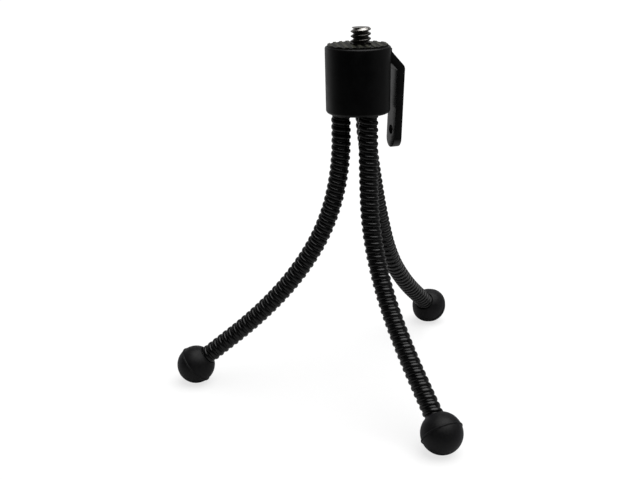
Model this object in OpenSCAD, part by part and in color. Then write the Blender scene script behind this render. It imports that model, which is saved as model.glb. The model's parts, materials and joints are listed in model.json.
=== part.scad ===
// Mini tripod with three flexible gooseneck legs, rubber ball feet and a turning head.
// The head carries a captive camera screw, a ribbed grip pad and a finger lever.
// Millimetres, +Z up. The feet stand on z = 0, the lever points to +X, and the origin
// is on the floor in the middle of the tripod's overall width and depth.

/* [Head] */
// Outer diameter of the head shell at its top
head_d = 20.4; // [20.2:0.1:22]
// Height of the head shell
head_h = 20.5; // [20:0.05:22]
// Height of the head shell's lower edge above the floor
head_z = 93; // [90:0.5:96]
// Wall of the head shell around the leg hub, at the top
head_wall = 1.15; // [1:0.05:1.3]
// How much smaller the head shell's radius is at its lower edge, so that it leaves its mould
side_draft = 0.15; // [0.05:0.05:0.2]
// Rounding of the head shell's lower edge
head_round = 1; // [0.5:0.1:1.2]
// Rounding of the head shell's upper edge
rim_round = 0.6; // [0.2:0.1:0.6]

/* [Lever] */
// Direction of the lever seen from above, in degrees from +X
lever_aim = 22.6; // [0:0.1:30]
// Width of the lever
lever_w = 6; // [5:0.5:8]
// Thickness of the lever
lever_t = 2.5; // [2.2:0.05:3]
// Distance from the head's axis to the outside of the lever's corner
lever_reach = 14.7; // [14.5:0.1:16]
// How far the lever's tip hangs below the head shell
lever_hang = 12.1; // [10:0.1:14]
// Slope of the lever's shoulder, in degrees from the vertical
shoulder_slope = 42.5; // [40:0.5:50]
// Distance from the head shell's upper edge down to the start of the lever's shoulder
shoulder_drop = 2; // [1.5:0.1:2.5]
// Distance from the head shell's upper edge down to the top of the lever's root
root_lip = 0.9; // [0.7:0.1:1.2]
// Depth of the lever's seat in the head shell's side
lever_seat = 0.75; // [0.5:0.05:0.75]
// Lean of the hanging part towards the head's axis, in degrees
lever_lean = 2.6; // [0:0.1:3]
// Rounding of the lever's outer corner
lever_round = 2; // [1:0.5:3]
// Diameter of the strap hole in the lever
strap_hole_d = 3; // [2:0.5:3.5]
// Distance from the lever's tip to the middle of the strap hole
strap_hole_up = 5.66; // [4:0.1:7]

/* [Camera screw] */
// Outer diameter of the quarter-inch camera screw
screw_d = 6.25; // [6:0.05:6.35]
// Length of screw that stands above the grip pad
screw_proud = 4.95; // [4:0.05:6]
// Chamfer at the screw's end
screw_chamfer = 0.5; // [0.3:0.1:0.8]
// Diameter of the plain neck between the thread and the screw's hex head
screw_neck_d = 5.2; // [4.8:0.1:5.5]
// Distance from the tops of the grip pad's ribs up to the thread
thread_lift = 0.1; // [0.1:0.1:0.5]
// Distance between flats of the screw's hex head
hex_flats = 10; // [9.5:0.1:10.5]
// Height of the screw's hex head
hex_h = 3.9; // [3.5:0.1:4]
// Distance of the screw from the head's axis, towards the lever
screw_shift = 1; // [0:0.1:1]

/* [Grip pad] */
// Diameter of the rubber grip pad
pad_d = 18.8; // [18:0.1:18.8]
// Thickness of the grip pad under its ribs
pad_base = 0.4; // [0.4:0.05:0.8]
// Height of the ribs on the grip pad
rib_h = 0.25; // [0.2:0.05:0.6]
// Distance from one rib to the next
rib_pitch = 2.15; // [2:0.05:2.5]
// Width of one rib
rib_w = 1.3; // [0.8:0.1:1.4]
// Direction that the ribs run in, in degrees from +X
rib_aim = -82; // [-90:1:90]

/* [Legs] */
// Outer diameter of the gooseneck
leg_d = 6.04; // [5.8:0.02:6.2]
// Diameter of the hollow inside the gooseneck
leg_bore_d = 3.5; // [3:0.1:3.6]
// Distance of the leg sockets from the head's axis
socket_r = 5.4; // [5.2:0.1:5.5]
// Depth of the leg sockets in the hub
socket_depth = 8.4; // [7:0.1:9]
// Direction of the left leg's socket, in degrees from +X; the others are 120 degrees apart
socket_aim = 185.8; // [175:0.1:195]
// Distance from the head shell's lower edge down to the first joint of a leg
root_drop = 1.6; // [1.5:0.1:2]
// Length of the short second length of a leg
neck_span = 6; // [6:0.5:8]
// Length of the lengths of a leg that follow it
link_span = 20; // [18:1:22]
// Direction that each leg bends in, in degrees from +X: left, front, rear
leg_aims = [180.2, -63.7, 62]; // [-90:0.1:190]
// Bend of the left leg's second to sixth lengths, in degrees; the last length is straight
left_bends = [0, 14, 17, 12, 8]; // [0:0.5:26]
// Bend of the front leg's second to sixth lengths, in degrees
front_bends = [0, 4, 24, 17, 8]; // [0:0.5:26]
// Bend of the rear leg's second to sixth lengths, in degrees
rear_bends = [14.5, 3, 6.5, 19, 9.5]; // [0:0.5:26]

/* [Ball feet] */
// Diameter of the rubber balls
ball_d = 12.8; // [12:0.1:14]
// How far the seam rib stands proud of the ball
seam_h = 0.25; // [0.1:0.05:0.4]
// Width of the seam rib
seam_w = 0.5; // [0.3:0.1:1]
// Distance from the leg's end to the ball's centre
leg_stop = 3.4; // [3:0.1:4]

/* [Hidden] */
LEGS = ["left", "front", "rear"];
LENGTHS = 7;
HEAD_NODES = ["head_shell", "finger_lever", "grip_pad", "camera_screw", "wave_washer", "thrust_washer"];
HUB_NODES = ["leg_hub", "retaining_ring"];
LEG_NODES = [for (leg = LEGS) for (k = [1:LENGTHS]) str(leg, "_leg_", k)];
END_NODES = [for (leg = LEGS) for (piece = ["_root_pin", "_foot_pin", "_ball_foot"]) str(leg, piece)];

$fn = 96;
// Clearance between pieces that turn on each other or are fitted together
fit = 0.05;
// Radial clearance of the hub in the head shell, and of a knuckle in its cup
hub_fit = 0.08;
cup_fit = 0.06;
// Extra length of cutting shapes
over = 1;

// Inside of the head: heights are measured from the head shell's lower edge
head_r = head_d / 2;
cavity_r = head_r - head_wall;
cavity_h = 13.9;
hub_r = cavity_r - hub_fit;
hub_low = 0.2;
hub_top = 12.35;
ring_z = 10.5;
ring_wire_d = 0.9;
ring_r = 9;
ring_gap = 30;
ring_groove_r = 8.1;
washer_bore_r = 3.5;
thrust_r = 7;
thrust_t = 0.8;
wave_r = 6.5;
wave_t = 0.6;
hex_low = cavity_h + fit;
rib_top = head_h + pad_base + rib_h;
thread_low = rib_top + thread_lift;
screw_top = rib_top + screw_proud;
screw_hole_r = screw_d / 2 + 0.15;
pad_hole_r = screw_hole_r + 0.1;

// Legs: lengths are measured along a leg, from the head shell's lower edge
leg_r = leg_d / 2;
leg_bore_r = leg_bore_d / 2;
knuckle_r = 2.6;
knuckle_gap = 1;
leg_bends = [left_bends, front_bends, rear_bends];
pin_r = leg_bore_r - fit;
root_pin_low = knuckle_r - root_drop + fit;
foot_pin_up = 12;
foot_pin_past = 1;
pin_head_r = 2.6;
pin_head_h = 1;
ball_r = ball_d / 2;

// A leg's shape at the top of length k, in the leg's own bending plane
function span(k) = k == 2 ? neck_span : link_span;
function bend(leg, k) = k == LENGTHS ? 0 : leg_bends[leg][k - 2];
function tilt(leg, k) = k <= 2 ? 0 : tilt(leg, k - 1) + bend(leg, k - 1);
function arc_r(angle, length) = length * 180 / (PI * angle);
function arc_out(from, angle, length) =
    angle == 0 ? length * sin(from) : arc_r(angle, length) * (cos(from) - cos(from + angle));
function arc_down(from, angle, length) =
    angle == 0 ? length * cos(from) : arc_r(angle, length) * (sin(from + angle) - sin(from));
function reach(leg, k) =
    k <= 2 ? 0 : reach(leg, k - 1) + arc_out(tilt(leg, k - 1), bend(leg, k - 1), span(k - 1));
function drop(leg, k) =
    k <= 2 ? root_drop : drop(leg, k - 1) + arc_down(tilt(leg, k - 1), bend(leg, k - 1), span(k - 1));

// The last length is straight, and so long that the ball just touches the floor
function leg_tilt(leg) = tilt(leg, LENGTHS);
function tail(leg) = (head_z - ball_r - drop(leg, LENGTHS)) / cos(leg_tilt(leg));
function foot_reach(leg) = reach(leg, LENGTHS) + tail(leg) * sin(leg_tilt(leg));

// Where each foot stands, seen from the head's axis, and so where that axis is
function heading(angle) = [cos(angle), sin(angle)];
function socket_turn(leg) = socket_aim + 120 * leg;
function foot_at(leg) = socket_r * heading(socket_turn(leg)) + foot_reach(leg) * heading(leg_aims[leg]);
feet = [for (leg = [0:2]) foot_at(leg)];
function middle(values) = (max(values) + min(values)) / 2;
head_at = -[middle([for (foot = feet) foot[0]]), middle([for (foot = feet) foot[1]])];

// Places children on the head's axis, with z = 0 at the head shell's lower edge
module at_head() {
    translate([head_at[0], head_at[1], head_z]) children();
}

// Places children on a leg's root, with +X in the leg's bending plane and away from the head
module at_root(leg) {
    at_head()
        rotate([0, 0, socket_turn(leg)])
        translate([socket_r, 0, 0])
        rotate([0, 0, leg_aims[leg] - socket_turn(leg)])
        children();
}

// Places children at the top of length k of a leg, with -Z along the leg
module at_length(leg, k) {
    at_root(leg)
        translate([reach(leg, k), 0, -drop(leg, k)])
        rotate([0, -tilt(leg, k), 0])
        children();
}

// Places children at a foot's centre, with -Z along the leg
module at_foot(leg) {
    at_root(leg)
        translate([foot_reach(leg), 0, ball_r - head_z])
        rotate([0, -leg_tilt(leg), 0])
        children();
}

// A rod of radius r that bends by an angle over its span, between two distances along it
module bent_rod(r, angle, length, from, to) {
    if (angle == 0) {
        translate([0, 0, -to]) cylinder(r = r, h = to - from);
    } else {
        bend_r = arc_r(angle, length);
        translate([bend_r, 0, 0])
            rotate([90, 0, 0])
            rotate_extrude(start = 180 + from * angle / length, angle = (to - from) * angle / length)
            translate([bend_r, 0])
            circle(r);
    }
}

// Places children where a bent stretch ends
module past_bend(angle, length) {
    translate([arc_out(0, angle, length), 0, -arc_down(0, angle, length)])
        rotate([0, -angle, 0])
        children();
}

// Outline of the solid head, turned about its axis
module head_outline() {
    low_r = head_r - side_draft;
    polygon([
        [0, 0],
        [low_r - head_round, 0],
        [low_r, head_round],
        [head_r, head_h - rim_round],
        [head_r - rim_round, head_h],
        [0, head_h],
    ]);
    translate([low_r - head_round, head_round]) circle(head_round);
    translate([head_r - rim_round, head_h - rim_round]) circle(rim_round);
}

// Side view of the lever: x is the distance from the head's axis, y the height. Its flat
// inner end is seated in a pocket in the head shell's side.
module lever_side() {
    start_r = head_r - lever_seat;
    corner_turn = shoulder_slope + lever_lean;
    slope = tan(shoulder_slope);
    lean = tan(lever_lean);
    corner_h = head_h - shoulder_drop - (lever_reach - head_r) / slope;
    inner_lift = lever_t / sin(shoulder_slope);
    inner_start_h = corner_h + (lever_reach - start_r) / slope - inner_lift;
    inner_face_r = lever_reach - lever_t / cos(lever_lean);
    inner_h = (start_r - inner_face_r + slope * inner_start_h + lean * corner_h) / (slope + lean);
    inner_r = inner_face_r + (inner_h - corner_h) * lean;
    arc_back = lever_round * tan(corner_turn / 2);
    corner_steps = 12;
    arc_x = lever_reach - arc_back * sin(lever_lean) - lever_round * cos(lever_lean);
    arc_y = corner_h - arc_back * cos(lever_lean) + lever_round * sin(lever_lean);
    polygon(concat(
        [
            [start_r, head_h - root_lip],
            [head_r, head_h - root_lip],
            [head_r, head_h - shoulder_drop],
        ],
        [for (i = [0:corner_steps]) let (turn = shoulder_slope - corner_turn * i / corner_steps)
            [arc_x + lever_round * cos(turn), arc_y + lever_round * sin(turn)]],
        [
            [lever_reach - (corner_h + lever_hang) * lean, -lever_hang],
            [inner_face_r - (corner_h + lever_hang) * lean, -lever_hang],
            [inner_r, inner_h],
            [start_r, inner_start_h],
        ]
    ));
}

// The lever seen from outside: straight sides and a round tip
module lever_face() {
    tip_r = lever_w / 2;
    translate([-tip_r, tip_r - lever_hang]) square([lever_w, lever_hang + head_h]);
    translate([0, tip_r - lever_hang]) circle(tip_r);
}

// The lever without its strap hole, pointing to +X
module lever_blank() {
    intersection() {
        rotate([90, 0, 0]) linear_extrude(lever_w, center = true) lever_side();
        rotate([90, 0, 90]) linear_extrude(lever_reach + over) lever_face();
    }
}

module finger_lever() {
    color("#1b1b1d") at_head() rotate([0, 0, lever_aim]) difference() {
        lever_blank();
        translate([0, 0, strap_hole_up - lever_hang])
            rotate([0, 90, 0])
            cylinder(d = strap_hole_d, h = lever_reach + over);
    }
}

module head_shell() {
    color("#1b1b1d") at_head() difference() {
        rotate_extrude() head_outline();
        translate([0, 0, -over]) cylinder(r = cavity_r, h = cavity_h + over);
        translate([0, 0, ring_z - ring_wire_d / 2 - fit])
            cylinder(r = ring_r + ring_wire_d / 2 + fit, h = ring_wire_d + 2 * fit);
        rotate([0, 0, lever_aim]) {
            lever_blank();
            translate([screw_shift, 0, cavity_h - over])
                cylinder(d = (hex_flats + 2 * fit) / cos(30), h = hex_h + 2 * fit + over, $fn = 6);
            translate([screw_shift, 0, 0]) cylinder(r = screw_hole_r, h = head_h + over);
        }
    }
}

module grip_pad() {
    rib_count = floor(pad_d / 2 / rib_pitch);
    color("#5d5a50") at_head() difference() {
        union() {
            translate([0, 0, head_h]) cylinder(d = pad_d, h = pad_base);
            intersection() {
                translate([0, 0, head_h]) cylinder(d = pad_d, h = pad_base + rib_h);
                rotate([0, 0, rib_aim])
                    for (i = [-rib_count:rib_count])
                        translate([-pad_d, i * rib_pitch - rib_w / 2, head_h])
                            cube([2 * pad_d, rib_w, pad_base + rib_h]);
            }
        }
        rotate([0, 0, lever_aim])
            translate([screw_shift, 0, 0])
            cylinder(r = pad_hole_r, h = screw_top);
    }
}

module camera_screw() {
    color("#b9b8b4") at_head() rotate([0, 0, lever_aim]) translate([screw_shift, 0, 0]) {
        translate([0, 0, hex_low]) cylinder(d = hex_flats / cos(30), h = hex_h, $fn = 6);
        translate([0, 0, hex_low]) cylinder(d = screw_neck_d, h = thread_low - hex_low);
        translate([0, 0, thread_low]) cylinder(d = screw_d, h = screw_top - screw_chamfer - thread_low);
        translate([0, 0, screw_top - screw_chamfer])
            cylinder(d1 = screw_d, d2 = screw_d - 2 * screw_chamfer, h = screw_chamfer);
    }
}

// A flat ring on the head's axis
module washer(low, thickness, r, bore_r) {
    at_head() translate([0, 0, low]) difference() {
        cylinder(r = r, h = thickness);
        translate([0, 0, -over]) cylinder(r = bore_r, h = thickness + 2 * over);
    }
}

module thrust_washer() {
    color("#e8e4d8") washer(hub_top + fit, thrust_t, thrust_r, washer_bore_r);
}

module wave_washer() {
    color("#9a9da0") washer(hub_top + thrust_t + 2 * fit, wave_t, wave_r, washer_bore_r);
}

module leg_hub() {
    color("#26262a") difference() {
        at_head() difference() {
            translate([0, 0, hub_low]) cylinder(r = hub_r, h = hub_top - hub_low);
            translate([0, 0, ring_z - ring_wire_d / 2 - fit]) difference() {
                cylinder(r = hub_r + over, h = ring_wire_d + 2 * fit);
                translate([0, 0, -over]) cylinder(r = ring_groove_r, h = ring_wire_d + 2 * over);
            }
        }
        for (leg = [0:2])
            at_root(leg)
                translate([0, 0, -over])
                cylinder(r = leg_r + fit, h = socket_depth + hub_low + over);
    }
}

module retaining_ring() {
    color("#8c8f93") at_head() translate([0, 0, ring_z])
        rotate([0, 0, 90 + ring_gap / 2])
        rotate_extrude(angle = 360 - ring_gap)
        translate([ring_r, 0])
        circle(d = ring_wire_d, $fn = 32);
}

// The first length of a leg: a straight stub in the hub that ends in a knuckle
module leg_stub(leg) {
    stub_top = hub_low + socket_depth - fit;
    at_root(leg) {
        translate([0, 0, knuckle_gap - root_drop]) difference() {
            cylinder(r = leg_r, h = stub_top + root_drop - knuckle_gap);
            translate([0, 0, -over]) cylinder(r = leg_bore_r, h = stub_top + root_drop + over);
        }
        translate([0, 0, -root_drop]) sphere(knuckle_r);
    }
}

// A later length of a leg: a cup on the knuckle above, a bent tube, and a knuckle or a straight end
module leg_link(leg, k) {
    last = k == LENGTHS;
    angle = bend(leg, k);
    length = last ? tail(leg) : span(k);
    end = length - (last ? leg_stop : knuckle_gap);
    at_length(leg, k) {
        difference() {
            bent_rod(leg_r, angle, length, knuckle_gap, end);
            bent_rod(leg_bore_r, angle, length, knuckle_gap - fit, end + fit);
            sphere(knuckle_r + cup_fit);
        }
        if (!last) past_bend(angle, length) sphere(knuckle_r);
    }
}

module leg_length(leg, k) {
    color("#202023")
        if (k == 1) leg_stub(leg);
        else leg_link(leg, k);
}

// A plain pin in the leg's bore, which keeps the coil from closing in its socket
module root_pin(leg) {
    color("#a6a7a9") at_root(leg)
        translate([0, 0, root_pin_low])
        cylinder(r = pin_r, h = hub_low + socket_depth - fit - root_pin_low);
}

// A headed pin, made larger by the clearance for the hollow that it needs
module headed_pin(clearance) {
    translate([0, 0, -foot_pin_past]) cylinder(r = pin_r + clearance, h = foot_pin_past + foot_pin_up);
    translate([0, 0, -foot_pin_past - pin_head_h - clearance])
        cylinder(r = pin_head_r + clearance, h = pin_head_h + 2 * clearance);
}

module foot_pin(leg) {
    color("#a6a7a9") at_foot(leg) headed_pin(0);
}

module ball_foot(leg) {
    color("#161617") at_foot(leg) difference() {
        union() {
            sphere(ball_r);
            cylinder(r = ball_r + seam_h, h = seam_w, center = true);
        }
        headed_pin(fit);
        translate([0, 0, leg_stop - fit]) cylinder(r = leg_r + fit, h = ball_r);
    }
}

head_shell();
finger_lever();
grip_pad();
camera_screw();
wave_washer();
thrust_washer();
leg_hub();
retaining_ring();
for (leg = [0:2]) {
    for (k = [1:LENGTHS])
        leg_length(leg, k);
    root_pin(leg);
    foot_pin(leg);
    ball_foot(leg);
}
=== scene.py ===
# Looks of the mini tripod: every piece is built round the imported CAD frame. Metres, +Z up.
import json
import math

import bmesh
import bpy
import numpy as np
from mathutils import Matrix, Vector

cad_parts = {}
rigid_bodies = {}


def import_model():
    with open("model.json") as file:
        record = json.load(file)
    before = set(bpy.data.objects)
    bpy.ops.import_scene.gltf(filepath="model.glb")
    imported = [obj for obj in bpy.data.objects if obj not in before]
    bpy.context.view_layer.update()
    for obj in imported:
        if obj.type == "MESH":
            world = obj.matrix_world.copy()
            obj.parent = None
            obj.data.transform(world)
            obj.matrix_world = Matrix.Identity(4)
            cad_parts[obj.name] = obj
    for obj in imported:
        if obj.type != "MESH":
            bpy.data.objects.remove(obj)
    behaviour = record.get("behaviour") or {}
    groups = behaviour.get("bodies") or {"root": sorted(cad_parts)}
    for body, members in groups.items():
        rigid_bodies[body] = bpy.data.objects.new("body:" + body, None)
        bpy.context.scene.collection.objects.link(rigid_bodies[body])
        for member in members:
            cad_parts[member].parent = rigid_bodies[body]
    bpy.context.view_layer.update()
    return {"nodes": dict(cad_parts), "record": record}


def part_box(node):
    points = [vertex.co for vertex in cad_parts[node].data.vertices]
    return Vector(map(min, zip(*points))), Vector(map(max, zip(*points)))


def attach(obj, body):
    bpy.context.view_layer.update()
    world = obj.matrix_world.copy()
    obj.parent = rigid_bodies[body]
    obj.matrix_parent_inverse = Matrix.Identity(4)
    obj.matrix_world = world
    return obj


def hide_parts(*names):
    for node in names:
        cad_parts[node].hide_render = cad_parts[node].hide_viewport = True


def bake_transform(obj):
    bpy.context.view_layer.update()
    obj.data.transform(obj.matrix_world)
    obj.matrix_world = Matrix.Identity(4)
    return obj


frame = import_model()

MM = 0.001
LEGS = ("left", "front", "rear")
RECORD = frame["record"]
JOINTS = {joint["name"]: joint for joint in RECORD["behaviour"]["joints"]}
MOUNTS = {mount["name"]: mount for mount in RECORD["mounts"]}
UP = Vector((0, 0, 1))

# Head, heights measured from the head shell's lower edge
HEAD = Vector(JOINTS["head_turn"]["pos_m"])
LEVER_OUT = Vector(MOUNTS["strap_hole"]["axis"]).normalized()
LEVER_TURN = math.atan2(LEVER_OUT.y, LEVER_OUT.x)
HEAD_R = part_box("head_shell")[1].y - HEAD.y
HEAD_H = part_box("head_shell")[1].z - HEAD.z
SIDE_DRAFT = 0.15 * MM
CAVITY_R = 9.05 * MM
CAVITY_H = 13.9 * MM
CAVITY_EDGE_W = 0.02 * MM
CAVITY_EDGE_H = 0.15 * MM
GROOVE_Z = 10.5 * MM
GROOVE_HALF = 0.5 * MM
GROOVE_R = 9.5 * MM
LOW_ROUND = 1.0 * MM
RIM_ROUND = 0.6 * MM

# Lever
LEVER_W = 6.0 * MM
LEVER_T = 2.5 * MM
LEVER_REACH = 14.7 * MM
LEVER_HANG = HEAD.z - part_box("finger_lever")[0].z
LEVER_ROUND = 2.0 * MM
SHOULDER_SLOPE = math.radians(42.5)
LEVER_LEAN = math.radians(2.6)
SHOULDER_DROP = 2.0 * MM
ROOT_LIP = 0.9 * MM
LEVER_SEAT = 0.75 * MM
EDGE_ROUND = 0.2 * MM

# Screw and pad
SCREW = Vector(MOUNTS["camera_screw"]["pos_m"])
SCREW_R = MOUNTS["camera_screw"]["dims"]["r_mm"] * MM
SCREW_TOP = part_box("camera_screw")[1].z
SCREW_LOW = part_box("camera_screw")[0].z
THREAD_LOW = SCREW.z - MOUNTS["camera_screw"]["dims"]["length_mm"] * MM / 2
NECK_R = 2.6 * MM
THREAD_PITCH = 1.47 * MM
THREAD_DEPTH = 0.85 * MM
# Part of a turn that sets where the thread's crests come out at the front
THREAD_START = 0.837
THREAD_RUN_IN = 0.3 * MM
SCREW_CHAMFER = 0.45 * MM
END_DISH = 0.1 * MM
HEX_FLATS = 10 * MM
HEX_H = 3.9 * MM
HEX_CLEARANCE = 0.1 * MM
SHELL_CLEARANCE = 0.15 * MM
PAD_CLEARANCE = 0.25 * MM
PAD_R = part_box("grip_pad")[1].y - HEAD.y
PAD_BASE = 0.4 * MM
RIB_H = 0.25 * MM
PAD_ROUND = 0.08 * MM
RIB_PITCH = 2.15 * MM
RIB_AIM = math.radians(-82)
PAD_TOP = HEAD.z + HEAD_H + PAD_BASE + RIB_H

# Gooseneck, lengths measured along a leg from the head shell's lower edge
LEG_R = 3.1 * MM
COIL_PITCH = 2.2 * MM
SPRING_HALF_T = 0.62 * MM
SPRING_HALF_W = 0.74 * MM
SPRING_HELIX_R = LEG_R - SPRING_HALF_T
WRAP_CROWN_R = 2.74 * MM
WRAP_CROWN = 0.17 * MM
WRAP_HELIX_R = WRAP_CROWN_R - WRAP_CROWN
STEPS_PER_COIL = 36
SOCKET_DEPTH = 7.0 * MM
# Longest reach taken on each side of a joint, and the same above the hub's mouth
BEND_REACH = 8 * MM
ROOT_REACH = 2.4 * MM
# Most of the way from a joint to the end of its piece that the reach may take up
BEND_SHARE = 0.8

# Ball feet, measured from the ball's centre
LEG_STOP = 3.4 * MM
BALL_R = 6.4 * MM
MOUTH_LIP = 0.3 * MM
MOUTH_CLEARANCE = 0.03 * MM
SEAM_H = 0.27 * MM
SEAM_W = 0.62 * MM
PIN_R = 1.75 * MM
PIN_HEAD_R = 2.65 * MM
PIN_HEAD_TOP = -0.95 * MM
PIN_HEAD_LOW = -2.05 * MM

# Camera: how far in front of the head's axis, how high above the floor, and how it is turned
CAMERA_AWAY = 296.77 * MM
CAMERA_HEIGHT = 149.56 * MM
CAMERA_YAW = math.radians(-2.44)
CAMERA_PITCH = math.radians(18.38)
CAMERA_ROLL = math.radians(-1.03)
CAMERA_LENS = 53.75


# ---------------------------------------------------------------- mesh helpers

def add_mesh(name, verts, faces, sharp_angle=35.0):
    """A new mesh object, smooth-shaded up to an angle between faces."""
    mesh = bpy.data.meshes.new(name)
    mesh.from_pydata([tuple(v) for v in verts], [], faces)
    mesh.validate()
    obj = bpy.data.objects.new(name, mesh)
    bpy.context.scene.collection.objects.link(obj)
    shade(obj, sharp_angle)
    return obj


def shade(obj, sharp_angle):
    """Smooth shading, with edges sharper than the angle kept crisp."""
    mesh = obj.data
    mesh.polygons.foreach_set("use_smooth", [True] * len(mesh.polygons))
    mesh.set_sharp_from_angle(angle=math.radians(sharp_angle))


def apply_modifiers(obj):
    graph = bpy.context.evaluated_depsgraph_get()
    graph.update()
    mesh = bpy.data.meshes.new_from_object(obj.evaluated_get(graph), depsgraph=graph)
    old = obj.data
    obj.modifiers.clear()
    obj.data = mesh
    bpy.data.meshes.remove(old)


def combine(obj, other, operation):
    """Boolean of two closed meshes; the other one is used up."""
    bpy.context.view_layer.update()
    modifier = obj.modifiers.new("combine", "BOOLEAN")
    modifier.operation = operation
    modifier.solver = "EXACT"
    modifier.object = other
    apply_modifiers(obj)
    bpy.data.objects.remove(other)


def round_edges(obj, width, segments):
    """Rounds every edge that turns by more than 32 degrees."""
    modifier = obj.modifiers.new("round", "BEVEL")
    modifier.width = width
    modifier.segments = segments
    modifier.limit_method = "ANGLE"
    modifier.angle_limit = math.radians(32)
    modifier.miter_outer = "MITER_ARC"
    modifier.harden_normals = False
    apply_modifiers(obj)


def lathe(name, outline, segments, sharp_angle=35.0):
    """Turns (radius, height) points about Z; the outline starts and ends on the axis."""
    verts, rings = [], []
    for radius, height in outline:
        if radius < 1e-9:
            rings.append([len(verts)] * segments)
            verts.append((0, 0, height))
            continue
        rings.append(list(range(len(verts), len(verts) + segments)))
        for i in range(segments):
            turn = 2 * math.pi * i / segments
            verts.append((radius * math.cos(turn), radius * math.sin(turn), height))
    faces = []
    for low, high in zip(rings, rings[1:]):
        for i in range(segments):
            j = (i + 1) % segments
            corners = [low[i], low[j], high[j], high[i]]
            face = [c for n, c in enumerate(corners) if c not in corners[:n]]
            if len(face) > 2:
                faces.append(face)
    obj = add_mesh(name, verts, faces, sharp_angle)
    fix_normals(obj)
    shade(obj, sharp_angle)
    return obj


def fix_normals(obj):
    work = bmesh.new()
    work.from_mesh(obj.data)
    bmesh.ops.recalc_face_normals(work, faces=work.faces)
    work.to_mesh(obj.data)
    work.free()


def extrude_outline(name, outline, place_point, depth):
    """A prism: place_point turns an outline's x and y and a distance along the prism into a point."""
    count = len(outline)
    verts = [place_point(x, y, distance) for distance in (0, depth) for x, y in outline]
    faces = [list(range(count))[::-1], list(range(count, 2 * count))]
    faces += [[i, (i + 1) % count, count + (i + 1) % count, count + i] for i in range(count)]
    obj = add_mesh(name, verts, faces)
    fix_normals(obj)
    return obj


def arc(centre_x, centre_y, radius, start, end, steps):
    """Points on an arc, angles in degrees."""
    turns = [math.radians(start + (end - start) * i / steps) for i in range(steps + 1)]
    return [(centre_x + radius * math.cos(t), centre_y + radius * math.sin(t)) for t in turns]


def cylinder(name, radius, low, high, segments=96):
    return lathe(name, [(0, low), (radius, low), (radius, high), (0, high)], segments)


def place(obj, origin, turn=0.0):
    """Moves a mesh built on the Z axis to its place in the frame."""
    obj.data.transform(Matrix.Translation(origin) @ Matrix.Rotation(turn, 4, "Z"))


# ---------------------------------------------------------------- materials

def new_material(name):
    material = bpy.data.materials.new(name)
    material.use_nodes = True
    nodes = material.node_tree.nodes
    shader = nodes["Principled BSDF"]
    return material, nodes, material.node_tree.links, shader


def noise(nodes, links, scale, detail, roughness=0.55, stretch=None):
    coordinates = nodes.new("ShaderNodeTexCoord")
    texture = nodes.new("ShaderNodeTexNoise")
    texture.inputs["Scale"].default_value = scale
    texture.inputs["Detail"].default_value = detail
    texture.inputs["Roughness"].default_value = roughness
    if stretch:
        mapping = nodes.new("ShaderNodeMapping")
        mapping.inputs["Scale"].default_value = stretch
        links.new(coordinates.outputs["Object"], mapping.inputs["Vector"])
        links.new(mapping.outputs["Vector"], texture.inputs["Vector"])
    else:
        links.new(coordinates.outputs["Object"], texture.inputs["Vector"])
    return texture.outputs["Fac"]


def ramp(nodes, links, value, stops):
    """A colour ramp over a value; stops are (position, colour)."""
    node = nodes.new("ShaderNodeValToRGB")
    elements = node.color_ramp.elements
    while len(elements) < len(stops):
        elements.new(0.5)
    for element, (position, colour) in zip(elements, stops):
        element.position = position
        element.color = (*colour, 1)
    links.new(value, node.inputs["Fac"])
    return node.outputs["Color"]


def remap(nodes, links, value, low, high):
    """Stretches the middle of a noise to run from low to high."""
    node = nodes.new("ShaderNodeMapRange")
    node.inputs["From Min"].default_value = 0.3
    node.inputs["From Max"].default_value = 0.7
    node.inputs["To Min"].default_value = low
    node.inputs["To Max"].default_value = high
    links.new(value, node.inputs["Value"])
    return node.outputs["Result"]


def bump(nodes, links, shader, height, distance, strength):
    node = nodes.new("ShaderNodeBump")
    node.inputs["Distance"].default_value = distance
    node.inputs["Strength"].default_value = strength
    links.new(height, node.inputs["Height"])
    links.new(node.outputs["Normal"], shader.inputs["Normal"])


def moulded_plastic(name, dark, light, rough, specular):
    """Black plastic from an etched mould: a fine grain, and a broad change in gloss from handling."""
    material, nodes, links, shader = new_material(name)
    broad = noise(nodes, links, 260, detail=3)
    links.new(ramp(nodes, links, broad, [(0.35, dark), (0.7, light)]), shader.inputs["Base Color"])
    links.new(remap(nodes, links, broad, rough - 0.05, rough + 0.06), shader.inputs["Roughness"])
    shader.inputs["Specular IOR Level"].default_value = specular
    bump(nodes, links, shader, noise(nodes, links, 9000, detail=2), 0.000012, 0.5)
    return material


def rubber(name, dark, light, rough, grain, depth, sheen=0.0, sheen_tint=(1, 1, 1)):
    """Matt rubber with a fine cast grain and a little dust in its colour."""
    material, nodes, links, shader = new_material(name)
    dust = noise(nodes, links, 900, detail=6, roughness=0.65)
    links.new(ramp(nodes, links, dust, [(0.38, dark), (0.72, light)]), shader.inputs["Base Color"])
    links.new(remap(nodes, links, dust, rough - 0.06, rough + 0.08), shader.inputs["Roughness"])
    shader.inputs["Specular IOR Level"].default_value = 0.2
    shader.inputs["Sheen Weight"].default_value = sheen
    shader.inputs["Sheen Roughness"].default_value = 0.45
    shader.inputs["Sheen Tint"].default_value = (*sheen_tint, 1)
    bump(nodes, links, shader, noise(nodes, links, grain, detail=3), depth, 0.6)
    return material


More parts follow.
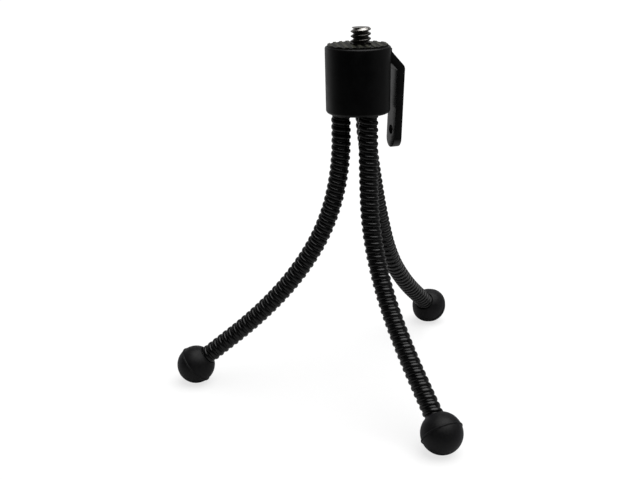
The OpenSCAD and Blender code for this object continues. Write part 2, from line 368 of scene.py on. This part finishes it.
def darken_below(material, low, high, shade_low):
    """Multiplies a material's colour by shade_low under a height, rising to 1 at another."""
    nodes, links = material.node_tree.nodes, material.node_tree.links
    colour_in = nodes["Principled BSDF"].inputs["Base Color"]
    coordinates = nodes.new("ShaderNodeTexCoord")
    split = nodes.new("ShaderNodeSeparateXYZ")
    links.new(coordinates.outputs["Object"], split.inputs["Vector"])
    height = nodes.new("ShaderNodeMapRange")
    height.inputs["From Min"].default_value = low
    height.inputs["From Max"].default_value = high
    height.inputs["To Min"].default_value = shade_low
    links.new(split.outputs["Z"], height.inputs["Value"])
    product = nodes.new("ShaderNodeVectorMath")
    product.operation = "SCALE"
    links.new(colour_in.links[0].from_socket, product.inputs[0])
    links.new(height.outputs["Result"], product.inputs["Scale"])
    links.new(product.outputs["Vector"], colour_in)


def enamelled_wire(name, dark, light, rough, specular):
    """Black-oxide spring wire: semi-gloss, drawn along its length, slightly uneven."""
    material, nodes, links, shader = new_material(name)
    patch = noise(nodes, links, 700, detail=4)
    links.new(ramp(nodes, links, patch, [(0.35, dark), (0.75, light)]), shader.inputs["Base Color"])
    links.new(remap(nodes, links, patch, rough - 0.05, rough + 0.08), shader.inputs["Roughness"])
    shader.inputs["Specular IOR Level"].default_value = specular
    bump(nodes, links, shader, noise(nodes, links, 5200, detail=3), 0.000010, 0.45)
    return material


def turned_steel(name, dark, light, rough):
    """Dull bare steel with fine turning marks round the vertical axis."""
    material, nodes, links, shader = new_material(name)
    shader.inputs["Metallic"].default_value = 1.0
    marks = noise(nodes, links, 900, detail=4, stretch=(0.25, 0.25, 9.0))
    stain = noise(nodes, links, 420, detail=5, roughness=0.6)
    links.new(ramp(nodes, links, stain, [(0.33, dark), (0.68, light)]), shader.inputs["Base Color"])
    links.new(remap(nodes, links, marks, rough - 0.08, rough + 0.12), shader.inputs["Roughness"])
    bump(nodes, links, shader, marks, 0.00002, 0.5)
    return material


SHELL_PLASTIC = moulded_plastic("shell_plastic", (0.0022, 0.0022, 0.0024), (0.0038, 0.0038, 0.004),
                                0.39, 0.22)
LEVER_PLASTIC = moulded_plastic("lever_plastic", (0.0024, 0.0024, 0.0026), (0.0046, 0.0046, 0.0048),
                                0.27, 0.45)
HUB_PLASTIC = moulded_plastic("hub_plastic", (0.004, 0.004, 0.0044), (0.008, 0.008, 0.008), 0.5, 0.2)
WASHER_NYLON = moulded_plastic("washer_nylon", (0.66, 0.63, 0.55), (0.80, 0.78, 0.72), 0.5, 0.5)
PAD_RUBBER = rubber("pad_rubber", (0.022, 0.0225, 0.016), (0.062, 0.062, 0.044), 0.5, 5200, 0.00002)
# Painted shade: the pad's colour drops to 0.12 below the rib tops, standing in for the shade in the grooves
# between the ribs and on the pad's side.
darken_below(PAD_RUBBER, PAD_TOP - RIB_H, PAD_TOP - 0.03 * MM, 0.12)
BALL_RUBBER = rubber("ball_rubber", (0.0030, 0.0030, 0.0034), (0.0064, 0.0064, 0.0067), 0.5, 7000, 0.000018,
                     sheen=0.03, sheen_tint=(0.75, 0.72, 1.0))
SPRING_STEEL = enamelled_wire("gooseneck_steel", (0.0016, 0.0016, 0.0018), (0.004, 0.004, 0.0042),
                              0.24, 0.34)
WRAP_STEEL = enamelled_wire("gooseneck_wrap", (0.0014, 0.0014, 0.0016), (0.0034, 0.0034, 0.0036),
                            0.27, 0.29)
SCREW_STEEL = turned_steel("screw_steel", (0.26, 0.25, 0.235), (0.52, 0.505, 0.475), 0.30)
# Painted shade: the steel's colour drops to 0.3 below the first crest, standing in for the shade and dark
# reflections on the lower threads; the hex head lower down takes this dark tone too.
darken_below(SCREW_STEEL, SCREW_TOP - 1.6 * MM, SCREW_TOP - 0.9 * MM, 0.3)
INNER_STEEL = turned_steel("inner_steel", (0.40, 0.40, 0.41), (0.60, 0.60, 0.62), 0.3)


def finish_piece(obj, material, body=None, nodes=()):
    """Gives a piece its material and its body, and hides the CAD nodes that it stands in for."""
    obj.data.materials.clear()
    obj.data.materials.append(material)
    if body:
        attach(obj, body)
    if nodes:
        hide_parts(*nodes)


# ---------------------------------------------------------------- head shell and lever

def lever_side():
    """Side view of the lever as (distance from the head's axis, height) points."""
    slope, lean = math.tan(SHOULDER_SLOPE), math.tan(LEVER_LEAN)
    start_r = HEAD_R - LEVER_SEAT
    corner_z = HEAD_H - SHOULDER_DROP - (LEVER_REACH - HEAD_R) / slope
    inner_start_z = corner_z + (LEVER_REACH - start_r) / slope - LEVER_T / math.sin(SHOULDER_SLOPE)
    inner_r = LEVER_REACH - LEVER_T / math.cos(LEVER_LEAN)
    bend_z = (start_r - inner_r + slope * inner_start_z + lean * corner_z) / (slope + lean)
    bend_r = inner_r + (bend_z - corner_z) * lean
    turn = math.degrees(SHOULDER_SLOPE + LEVER_LEAN)
    back = LEVER_ROUND * math.tan(math.radians(turn / 2))
    arc_r = LEVER_REACH - back * math.sin(LEVER_LEAN) - LEVER_ROUND * math.cos(LEVER_LEAN)
    arc_z = corner_z - back * math.cos(LEVER_LEAN) + LEVER_ROUND * math.sin(LEVER_LEAN)
    corner = arc(arc_r, arc_z, LEVER_ROUND, math.degrees(SHOULDER_SLOPE), -math.degrees(LEVER_LEAN), 10)
    hang_back = (corner_z + LEVER_HANG) * lean
    return [
        (start_r, HEAD_H - ROOT_LIP),
        (HEAD_R, HEAD_H - ROOT_LIP),
        (HEAD_R, HEAD_H - SHOULDER_DROP),
        *corner,
        (LEVER_REACH - hang_back, -LEVER_HANG),
        (inner_r - hang_back, -LEVER_HANG),
        (bend_r, bend_z),
        (start_r, inner_start_z),
    ]


def make_lever():
    """The finger lever, with a round tip and a strap hole; its root sits in the shell's side."""
    half = LEVER_W / 2
    lever = extrude_outline("finger_lever_body", lever_side(), lambda r, z, d: (r, d - half, z), LEVER_W)
    tip = arc(0, half - LEVER_HANG, half, 180, 360, 24)
    face = tip + [(half, HEAD_H), (-half, HEAD_H)]
    outline = extrude_outline("face", face, lambda y, z, d: (d, y, z), LEVER_REACH + MM)
    combine(lever, outline, "INTERSECT")
    round_edges(lever, EDGE_ROUND, 4)
    hole = MOUNTS["strap_hole"]
    drill = cylinder("drill", hole["dims"]["r_mm"] * MM, -LEVER_T, LEVER_T, 48)
    hole_at = Vector(hole["pos_m"]) - HEAD
    out = math.hypot(hole_at.x, hole_at.y)
    drill.data.transform(Matrix.Translation((out, 0, hole_at.z)) @ Matrix.Rotation(math.pi / 2, 4, "Y"))
    combine(lever, drill, "DIFFERENCE")
    place(lever, HEAD, LEVER_TURN)
    shade(lever, 30)
    finish_piece(lever, LEVER_PLASTIC, "head", ["finger_lever"])


def make_head_shell():
    low = arc(HEAD_R - SIDE_DRAFT - LOW_ROUND, LOW_ROUND, LOW_ROUND, -90, 0, 8)
    rim = arc(HEAD_R - RIM_ROUND, HEAD_H - RIM_ROUND, RIM_ROUND, 0, 90, 6)
    outline = [
        (0, CAVITY_H),
        (CAVITY_R, CAVITY_H),
        (CAVITY_R, GROOVE_Z + GROOVE_HALF),
        (GROOVE_R, GROOVE_Z + GROOVE_HALF),
        (GROOVE_R, GROOVE_Z - GROOVE_HALF),
        (CAVITY_R, GROOVE_Z - GROOVE_HALF),
        (CAVITY_R, CAVITY_EDGE_H),
        (CAVITY_R + CAVITY_EDGE_W, 0),
        *low[1:],
        *rim,
        (0, HEAD_H),
    ]
    shell = lathe("head_shell_body", outline, 160)
    screw_at = SCREW - HEAD
    clearance = cylinder("clearance", SCREW_R + SHELL_CLEARANCE, 0, 2 * HEAD_H, 64)
    place(clearance, (screw_at.x, screw_at.y, 0))
    combine(shell, clearance, "DIFFERENCE")
    pocket_top = CAVITY_H + HEX_H + HEX_CLEARANCE
    pocket = hexagon("pocket", HEX_FLATS + HEX_CLEARANCE, CAVITY_H - MM, pocket_top)
    place(pocket, (screw_at.x, screw_at.y, 0), LEVER_TURN)
    combine(shell, pocket, "DIFFERENCE")
    place(shell, HEAD)
    shade(shell, 30)
    finish_piece(shell, SHELL_PLASTIC, "head", ["head_shell"])


def hexagon(name, flats, low, high):
    corner = flats / math.sqrt(3)
    outline = [(corner * math.cos(i * math.pi / 3), corner * math.sin(i * math.pi / 3)) for i in range(6)]
    return extrude_outline(name, outline, lambda x, y, d: (x, y, low + d), high - low)


# ---------------------------------------------------------------- grip pad and screw

def rib_section():
    """Cross-section of the pad across its ribs: a flat base with rounded ribs on it."""
    count = int(PAD_R / RIB_PITCH) + 1
    points = [((count + 0.6) * RIB_PITCH, 0), ((count + 0.6) * RIB_PITCH, PAD_BASE)]
    half_top, half_foot, corner, fillet = 0.42 * MM, 0.66 * MM, 0.10 * MM, 0.05 * MM
    for i in range(count, -count - 1, -1):
        middle = i * RIB_PITCH
        points += [(middle + half_foot, PAD_BASE), (middle + half_foot - fillet, PAD_BASE + fillet)]
        points += arc(middle + half_top - corner * 0.2, PAD_BASE + RIB_H - corner, corner, 20, 90, 4)
        points += arc(middle - half_top + corner * 0.2, PAD_BASE + RIB_H - corner, corner, 90, 160, 4)
        points += [(middle - half_foot + fillet, PAD_BASE + fillet), (middle - half_foot, PAD_BASE)]
    points += [(-(count + 0.6) * RIB_PITCH, PAD_BASE), (-(count + 0.6) * RIB_PITCH, 0)]
    return points


def make_pad():
    length = 4 * PAD_R
    pad = extrude_outline("grip_pad_ribbed", rib_section(), lambda y, z, d: (d - length / 2, y, z), length)
    pad.data.transform(Matrix.Rotation(RIB_AIM, 4, "Z"))
    top = PAD_BASE + RIB_H
    rim = arc(PAD_R - PAD_ROUND, top - PAD_ROUND, PAD_ROUND, 0, 90, 6)
    blank = lathe("blank", [(0, 0), (PAD_R, 0), *rim, (0, top)], 160)
    combine(pad, blank, "INTERSECT")
    hole = cylinder("hole", SCREW_R + PAD_CLEARANCE, -MM, 3 * MM, 64)
    place(hole, (SCREW.x - HEAD.x, SCREW.y - HEAD.y, 0))
    combine(pad, hole, "DIFFERENCE")
    place(pad, HEAD + UP * HEAD_H)
    shade(pad, 40)
    finish_piece(pad, PAD_RUBBER, "head", ["grip_pad"])


def make_screw():
    """The shank's radius follows the turn and the height, so the crest is a true helix; then the hex head."""
    sunk, row_h = 0.2 * MM, 0.07 * MM
    low, high = HEX_H + SCREW_LOW - sunk, SCREW_TOP
    sides, rows = 72, int((high - low) / row_h)
    verts = []
    for row in range(rows + 1):
        z = low + (high - low) * row / rows
        for i in range(sides):
            turn = 2 * math.pi * i / sides
            phase = ((z - high) / THREAD_PITCH - i / sides + THREAD_START) % 1.0
            # Flanks from a narrow flat crest down to a narrow flat root
            ridge = min(1.0, max(0.0, 1.28 - 2.9 * abs(phase - 0.5)))
            ridge *= min(1.0, max(0.0, (z - THREAD_LOW) / THREAD_RUN_IN))
            radius = SCREW_R - THREAD_DEPTH * (1 - ridge) if z > THREAD_LOW else NECK_R
            radius = min(radius, SCREW_R - max(0.0, z - (high - SCREW_CHAMFER)))
            verts.append((radius * math.cos(turn), radius * math.sin(turn), z))
    faces = []
    for row in range(rows):
        for i in range(sides):
            j = (i + 1) % sides
            faces.append([row * sides + i, row * sides + j, (row + 1) * sides + j, (row + 1) * sides + i])
    faces.append(list(range(sides))[::-1])
    last = rows * sides
    dish = len(verts)
    dish_r = SCREW_R - THREAD_DEPTH - 0.9 * MM
    for i in range(sides):
        turn = 2 * math.pi * i / sides
        verts.append((dish_r * math.cos(turn), dish_r * math.sin(turn), high - END_DISH))
    faces += [[last + i, last + (i + 1) % sides, dish + (i + 1) % sides, dish + i] for i in range(sides)]
    faces.append(list(range(dish, dish + sides)))
    screw = add_mesh("camera_screw_thread", verts, faces, sharp_angle=50)
    screw.data.transform(Matrix.Translation((SCREW.x, SCREW.y, 0)))
    finish_piece(screw, SCREW_STEEL, "head", ["camera_screw"])
    head = hexagon("camera_screw_head", HEX_FLATS, SCREW_LOW, SCREW_LOW + HEX_H)
    head.data.transform(Matrix.Translation((SCREW.x, SCREW.y, 0)) @ Matrix.Rotation(LEVER_TURN, 4, "Z"))
    round_edges(head, 0.2 * MM, 2)
    finish_piece(head, SCREW_STEEL, "head")


# ---------------------------------------------------------------- gooseneck legs

def leg_joints(leg):
    """The leg's joints from the hub down."""
    names = [f"{leg}_leg_swing"] + [f"{leg}_leg_bend_{i}" for i in range(1, 6)]
    return [JOINTS[name] for name in names]


class LegPath:
    """A leg's centreline: straight out of the hub, an arc from joint to joint, and straight into the ball."""

    def __init__(self, leg):
        joints = leg_joints(leg)
        self.out = Vector(joints[0]["axis"]).normalized()
        self.side = UP.cross(self.out).normalized()
        self.root = Vector((joints[0]["pos_m"][0], joints[0]["pos_m"][1], HEAD.z))
        self.bodies = [joints[0]["parent"]] + [joint["child"] for joint in joints]
        # Each span is its start along the leg, the reach, drop and tilt there, and its curvature
        self.spans = [(-1.0, 0.0, -1.0, 0.0, 0.0)]
        self.stations = []
        at, reach, drop, tilt = 0.0, 0.0, 0.0, 0.0
        anchors = [Vector(joint["pos_m"]) for joint in joints]
        for anchor in anchors:
            step = anchor - self.root
            d_reach, d_drop = step.dot(self.out) - reach, -step.z - drop
            chord, half = math.hypot(d_reach, d_drop), math.atan2(d_reach, d_drop) - tilt
            length = chord * (half / math.sin(half) if abs(half) > 1e-5 else 1.0)
            self.spans.append((at, reach, drop, tilt, 2 * half / length))
            at, reach, drop, tilt = at + length, reach + d_reach, drop + d_drop, tilt + 2 * half
            self.stations.append(at)
        self.spans.append((at, reach, drop, tilt, 0.0))
        self.length = at + (HEAD.z - drop - BALL_R) / math.cos(tilt)
        self.tilt = tilt

    def frame_at(self, s):
        """For an array of lengths along the leg: the centres, the directions, and the two across them."""
        reach, drop, tilt = np.zeros_like(s), np.zeros_like(s), np.zeros_like(s)
        starts = [span[0] for span in self.spans] + [1e9]
        for span, end in zip(self.spans, starts[1:]):
            at, reach0, drop0, tilt0, curve = span
            here = (s >= at) & (s < end)
            step = s[here] - at
            if abs(curve) < 1e-4:
                reach[here] = reach0 + step * math.sin(tilt0)
                drop[here] = drop0 + step * math.cos(tilt0)
                tilt[here] = tilt0
            else:
                tilt[here] = tilt0 + curve * step
                reach[here] = reach0 + (math.cos(tilt0) - np.cos(tilt[here])) / curve
                drop[here] = drop0 + (np.sin(tilt[here]) - math.sin(tilt0)) / curve
        out, side, up = (np.array(v)[None, :] for v in (self.out, self.side, UP))
        reach, drop, tilt = reach[:, None], drop[:, None], tilt[:, None]
        centre = np.array(self.root)[None, :] + reach * out - drop * up
        along = np.sin(tilt) * out - np.cos(tilt) * up
        across = np.cos(tilt) * out + np.sin(tilt) * up
        return centre, along, across, np.repeat(side, len(s), axis=0)

    def point(self, s):
        return Vector(self.frame_at(np.array([s]))[0][0])


def wire_mesh(name, path, start, end, helix_r, section, phase):
    """A wire of the given cross-section wound round a leg's centreline from start to end."""
    steps = round((end - start) / COIL_PITCH * STEPS_PER_COIL)
    s = np.linspace(start, end, steps + 1)
    centre, along, across, side = path.frame_at(s)
    turn = (2 * math.pi * s / COIL_PITCH + phase)[:, None]
    radial = np.cos(turn) * across + np.sin(turn) * side
    around = -np.sin(turn) * across + np.cos(turn) * side
    heading = along * COIL_PITCH + around * (2 * math.pi * helix_r)
    heading /= np.linalg.norm(heading, axis=1, keepdims=True)
    width = np.cross(heading, radial)
    rings = [centre + radial * (helix_r + x) + width * y for x, y in section]
    count = len(section)
    verts = np.stack(rings, axis=1).reshape(-1, 3)
    faces = []
    for i in range(steps):
        for k in range(count):
            j = (k + 1) % count
            faces.append([i * count + k, i * count + j, (i + 1) * count + j, (i + 1) * count + k])
    faces.append(list(range(count))[::-1])
    faces.append(list(range(steps * count, (steps + 1) * count)))
    obj = add_mesh(name, verts, faces, sharp_angle=60)
    fix_normals(obj)
    return obj


def spring_section():
    """The main wire: wider than it is thick, with a crown flatter than a circle."""
    points, count, squareness = [], 16, 0.85
    for i in range(count):
        turn = 2 * math.pi * i / count
        x, y = math.cos(turn), math.sin(turn)
        points.append((
            SPRING_HALF_T * math.copysign(abs(x) ** squareness, x),
            SPRING_HALF_W * math.copysign(abs(y) ** squareness, y),
        ))
    return points


def wrap_section():
    """The wedge wire: a rounded crown that fills the gap between the spring's turns, narrowing inwards."""
    half_gap = COIL_PITCH / 2 - SPRING_HALF_W
    side = [(-0.95 * MM, 0.62), (-0.42 * MM, 1.0), (0.0, 1.12), (0.10 * MM, 0.98), (0.155 * MM, 0.6)]
    outline = side + [(WRAP_CROWN, 0.0)] + [(x, -y) for x, y in reversed(side)]
    return [(x, y * half_gap) for x, y in outline]


def make_leg(leg):
    """Both wires in one piece per joint, cut halfway between the joints, and the ball."""
    path = LegPath(leg)
    stations = path.stations
    middles = [(a + b) / 2 for a, b in zip(stations, stations[1:])]
    cuts = [-SOCKET_DEPTH] + middles + [path.length - LEG_STOP]
    for i, station in enumerate(stations):
        start, end = cuts[i], cuts[i + 1]
        room_above = ROOT_REACH if i == 0 else (station - start) * BEND_SHARE
        reach = min(BEND_REACH, room_above, (end - station) * BEND_SHARE)
        nodes = [f"{leg}_leg_{i + 1}", f"{leg}_leg_{i + 2}"]
        spring = wire_mesh(f"{leg}_spring_{i + 1}", path, start, end, SPRING_HELIX_R, spring_section(), 0.0)
        wrap = wire_mesh(f"{leg}_wrap_{i + 1}", path, start, end, WRAP_HELIX_R, wrap_section(), math.pi)
        for piece, material in ((spring, SPRING_STEEL), (wrap, WRAP_STEEL)):
            finish_piece(piece, material)
            path.point(station - reach)
            path.point(station + reach)
            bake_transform(piece)
        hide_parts(*nodes)
    make_ball(leg, path)


def make_ball(leg, path):
    """The ball foot, turned about the leg's axis: a socket for the leg and its pin, and a seam rib."""
    mouth_r = LEG_R + MOUTH_CLEARANCE
    mouth_angle = math.degrees(math.asin((mouth_r + MOUTH_LIP) / BALL_R))
    seam_angle = math.degrees(SEAM_W / 2 / BALL_R)
    mouth_z = BALL_R * math.cos(math.radians(mouth_angle))
    inside = [
        (0, PIN_HEAD_LOW),
        (PIN_HEAD_R, PIN_HEAD_LOW),
        (PIN_HEAD_R, PIN_HEAD_TOP),
        (PIN_R, PIN_HEAD_TOP),
        (PIN_R, LEG_STOP),
        (mouth_r, LEG_STOP),
        (mouth_r, mouth_z - MOUTH_LIP * 0.6),
        (mouth_r + MOUTH_LIP * 0.25, mouth_z - MOUTH_LIP * 0.1),
    ]
    upper = arc(0, 0, BALL_R, 90 - mouth_angle, seam_angle, 28)
    rib = [
        (BALL_R + SEAM_H * (0.9 * math.sqrt(1 - t * t) + 0.1 * (1 - t * t)), t * SEAM_W / 2)
        for t in (0.92, 0.7, 0.4, 0.0, -0.4, -0.7, -0.92)
    ]
    lower = arc(0, 0, BALL_R, -seam_angle, -90, 36)
    lower[-1] = (0, -BALL_R)
    ball = lathe(f"{leg}_ball", inside + upper + rib + lower, 128, sharp_angle=50)
    centre = path.point(path.length)
    ball.data.transform(Matrix.Translation(centre) @ Matrix.Rotation(-path.tilt, 4, path.side))
    finish_piece(ball, BALL_RUBBER, path.bodies[-1], [f"{leg}_ball_foot"])


make_head_shell()
make_lever()
make_pad()
make_screw()
for leg_name in LEGS:
    make_leg(leg_name)

# CAD pieces that keep their shape get the finished materials
KEPT = {
    "leg_hub": HUB_PLASTIC,
    "thrust_washer": WASHER_NYLON,
    "wave_washer": INNER_STEEL,
    "retaining_ring": INNER_STEEL,
}
for leg_name in LEGS:
    KEPT[f"{leg_name}_root_pin"] = INNER_STEEL
    KEPT[f"{leg_name}_foot_pin"] = INNER_STEEL
for node_name, kept_material in KEPT.items():
    for material_slot in frame["nodes"][node_name].material_slots:
        material_slot.material = kept_material


# ---------------------------------------------------------------- floor, light and camera

def make_floor():
    """White paper, self-lit so that shadows stay faint. Only the part near the feet lights the object."""
    half = 6.0
    corners = [(-half, -half, 0), (half, -half, 0), (half, half, 0), (-half, half, 0)]
    floor = add_mesh("floor", corners, [[0, 1, 2, 3]])
    material, nodes, links, shader = new_material("floor_paper")
    paper = noise(nodes, links, 40, detail=2)
    colour = ramp(nodes, links, paper, [(0.0, (0.29, 0.29, 0.29)), (1.0, (0.31, 0.31, 0.31))])
    links.new(colour, shader.inputs["Base Color"])
    shader.inputs["Roughness"].default_value = 0.9
    shader.inputs["Specular IOR Level"].default_value = 0.0
    shader.inputs["Emission Color"].default_value = (1, 1, 1, 1)
    shader.inputs["Emission Strength"].default_value = 0.75
    coordinates = nodes.new("ShaderNodeTexCoord")
    away = nodes.new("ShaderNodeVectorMath")
    away.operation = "LENGTH"
    links.new(coordinates.outputs["Object"], away.inputs[0])
    reach = nodes.new("ShaderNodeMapRange")
    reach.inputs["From Min"].default_value = 0.08
    reach.inputs["From Max"].default_value = 0.22
    links.new(away.outputs["Value"], reach.inputs["Value"])
    bounce = nodes.new("ShaderNodeBsdfDiffuse")
    bounce.inputs["Color"].default_value = (0.52, 0.52, 0.52, 1)
    beyond = nodes.new("ShaderNodeBsdfTransparent")
    fade = nodes.new("ShaderNodeMixShader")
    links.new(reach.outputs["Result"], fade.inputs["Fac"])
    links.new(bounce.outputs["BSDF"], fade.inputs[1])
    links.new(beyond.outputs["BSDF"], fade.inputs[2])
    seen = nodes.new("ShaderNodeLightPath")
    either = nodes.new("ShaderNodeMixShader")
    links.new(seen.outputs["Is Camera Ray"], either.inputs["Fac"])
    links.new(fade.outputs["Shader"], either.inputs[1])
    links.new(shader.outputs["BSDF"], either.inputs[2])
    links.new(either.outputs["Shader"], nodes["Material Output"].inputs["Surface"])
    floor.data.materials.append(material)


def overhead_sun(elevation, azimuth, spread, strength):
    """A wide, even light from above: it gives the floor one tone and the black pieces a soft highlight."""
    data = bpy.data.lights.new("overhead", "SUN")
    data.angle = math.radians(spread)
    data.energy = strength
    light = bpy.data.objects.new("overhead", data)
    away = math.radians(azimuth)
    high = math.radians(elevation)
    towards = Vector((math.sin(away) * math.cos(high), -math.cos(away) * math.cos(high), math.sin(high)))
    light.rotation_mode = "QUATERNION"
    light.rotation_quaternion = (-towards).to_track_quat("-Z", "Y")
    light.location = towards
    bpy.context.scene.collection.objects.link(light)


def make_world():
    """White for the camera. For the object, a room that is light behind it and dark in front."""
    world = bpy.data.worlds.new("studio")
    bpy.context.scene.world = world
    world.use_nodes = True
    nodes, links = world.node_tree.nodes, world.node_tree.links
    background = nodes["Background"]
    seen = nodes.new("ShaderNodeLightPath")
    coordinates = nodes.new("ShaderNodeTexCoord")

    def lobe(direction, stops):
        """A soft light spot round a direction; stops are (cosine of the angle to it, brightness)."""
        towards = nodes.new("ShaderNodeVectorMath")
        towards.operation = "DOT_PRODUCT"
        towards.inputs[1].default_value = Vector(direction).normalized()
        links.new(coordinates.outputs["Generated"], towards.inputs[0])
        greys = [(cosine, (level, level, level)) for cosine, level in stops]
        return ramp(nodes, links, towards.outputs["Value"], greys)

    left = lobe((-0.72, 0.7, -0.12), [(0.30, 0.02), (0.80, 0.13), (1.0, 0.58)])
    right = lobe((0.95, 0.3, 0.0), [(0.35, 0.0), (0.85, 0.14)])
    above = lobe((0.0, 1.0, 0.2), [(0.80, 0.0), (0.97, 0.32)])
    shade_of_room = left
    for part in (right, above):
        total = nodes.new("ShaderNodeVectorMath")
        total.operation = "ADD"
        links.new(shade_of_room, total.inputs[0])
        links.new(part, total.inputs[1])
        shade_of_room = total.outputs["Vector"]
    mix = nodes.new("ShaderNodeMix")
    mix.data_type = "RGBA"
    mix.inputs["B"].default_value = (1, 1, 1, 1)
    links.new(shade_of_room, mix.inputs["A"])
    links.new(seen.outputs["Is Camera Ray"], mix.inputs["Factor"])
    links.new(mix.outputs["Result"], background.inputs["Color"])


def make_camera():
    """The photograph's view: the lens and the place were worked out from the feet and the head."""
    data = bpy.data.cameras.new("camera")
    data.lens = CAMERA_LENS
    data.sensor_width = 36
    data.clip_start, data.clip_end = 0.01, 50
    camera = bpy.data.objects.new("camera", data)
    bpy.context.scene.collection.objects.link(camera)
    bpy.context.scene.camera = camera
    level = Vector((math.sin(CAMERA_YAW), math.cos(CAMERA_YAW), 0))
    forward = level * math.cos(CAMERA_PITCH) - UP * math.sin(CAMERA_PITCH)
    right = level.cross(UP)
    up = right.cross(forward)
    right, up = (
        right * math.cos(CAMERA_ROLL) + up * math.sin(CAMERA_ROLL),
        up * math.cos(CAMERA_ROLL) - right * math.sin(CAMERA_ROLL),
    )
    camera.rotation_mode = "QUATERNION"
    camera.rotation_quaternion = Matrix((right, up, -forward)).transposed().to_quaternion()
    camera.location = Vector((HEAD.x, HEAD.y - CAMERA_AWAY, CAMERA_HEIGHT))


make_floor()
make_world()
overhead_sun(elevation=76, azimuth=78, spread=66, strength=3.0)
make_camera()
bpy.context.scene.view_settings.view_transform = "Standard"
